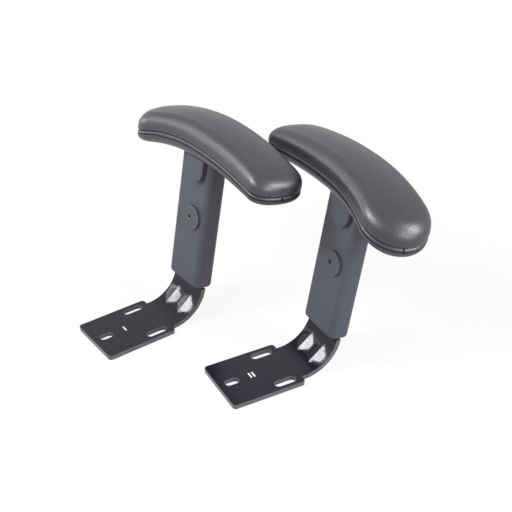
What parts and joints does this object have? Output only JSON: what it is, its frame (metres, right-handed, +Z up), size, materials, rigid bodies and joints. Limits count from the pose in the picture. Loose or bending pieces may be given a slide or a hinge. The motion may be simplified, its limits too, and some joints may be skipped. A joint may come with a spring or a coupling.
{
  "type": "adjustable office chair arm pair",
  "caption": "Right and left office chair arms: slotted steel seat bracket with a bent upright bar, sliding sleeve with push-button height lock, and a curved soft pad.",
  "frame": {"origin": "midway between the two long slots of the right seat plate, on its top face", "axes": "+Z up out of the plate's top face, +X outward away from the seat, +Y towards the right arm's front"},
  "size_m": [0.3107, 0.4342, 0.2672],
  "materials": {
    "black_steel": "smooth black coating with a soft gloss",
    "sleeve_plastic": "finely grained dark grey moulding",
    "button_plastic": "finely grained dark grey moulding",
    "guide_plastic": "smooth black low-friction plastic",
    "plated_steel": "zinc plated steel",
    "dark_steel": "blackened steel",
    "base_skin": "dark grey moulded tray with a fine grain",
    "pad_skin": "dark grey leather-grained skin over soft foam"
  },
  "bodies": {
    "base": {"right_bracket": "black_steel", "right_bar_shoe": "guide_plastic", "left_bracket": "black_steel", "left_bar_shoe": "guide_plastic"},
    "right_arm": {"right_sleeve": "sleeve_plastic", "right_lower_guide": "guide_plastic", "right_lever_pin": "plated_steel", "right_lever_spring": "plated_steel", "right_lock_cover": "button_plastic", "right_cover_screw": "dark_steel", "right_stop_pin": "plated_steel", "right_pad_base": "base_skin", "right_pad_cushion": "pad_skin", "right_pad_plate": "plated_steel", "right_pad_nuts": "plated_steel", "right_pad_screws": "dark_steel"},
    "right_button": {"right_release_button": "button_plastic"},
    "right_rocker": {"right_lock_lever": "plated_steel", "right_lock_stud": "plated_steel"},
    "left_arm": {"left_sleeve": "sleeve_plastic", "left_lower_guide": "guide_plastic", "left_lever_pin": "plated_steel", "left_lever_spring": "plated_steel", "left_lock_cover": "button_plastic", "left_cover_screw": "dark_steel", "left_stop_pin": "plated_steel", "left_pad_base": "base_skin", "left_pad_cushion": "pad_skin", "left_pad_plate": "plated_steel", "left_pad_nuts": "plated_steel", "left_pad_screws": "dark_steel"},
    "left_button": {"left_release_button": "button_plastic"},
    "left_rocker": {"left_lock_lever": "plated_steel", "left_lock_stud": "plated_steel"}
  },
  "joints": [
    {"name": "right_height", "type": "slide", "parent": "base", "child": "right_arm", "axis": [0.1685, 0, 0.9857], "range_m": [0, 0.06]},
    {"name": "right_release", "type": "slide", "parent": "right_arm", "child": "right_button", "axis": [0.9857, 0, -0.1685], "range_m": [0, 0.0035], "stiffness_N_per_m": 600, "springref_m": -0.003},
    {"name": "right_lock", "type": "hinge", "parent": "right_arm", "child": "right_rocker", "pos_m": [0.08862, -0.003, 0.16622], "axis": [0, 1, 0], "range_deg": [0, 5.9], "deforming": ["right_lever_spring"]},
    {"name": "left_height", "type": "slide", "parent": "base", "child": "left_arm", "axis": [0.1667, -0.0243, 0.9857], "range_m": [0, 0.06]},
    {"name": "left_release", "type": "slide", "parent": "left_arm", "child": "left_button", "axis": [0.9754, -0.1423, -0.1685], "range_m": [0, 0.0035], "stiffness_N_per_m": 600, "springref_m": -0.003},
    {"name": "left_lock", "type": "hinge", "parent": "left_arm", "child": "left_rocker", "pos_m": [0.16345, -0.19396, 0.16622], "axis": [0.1444, 0.9895, 0], "range_deg": [0, 5.9], "deforming": ["left_lever_spring"]}
  ],
  "couplings": [
    {"joint": "right_lock", "follows": "right_release", "rad_per_m": 29.412},
    {"joint": "left_lock", "follows": "left_release", "rad_per_m": 29.412}
  ]
}
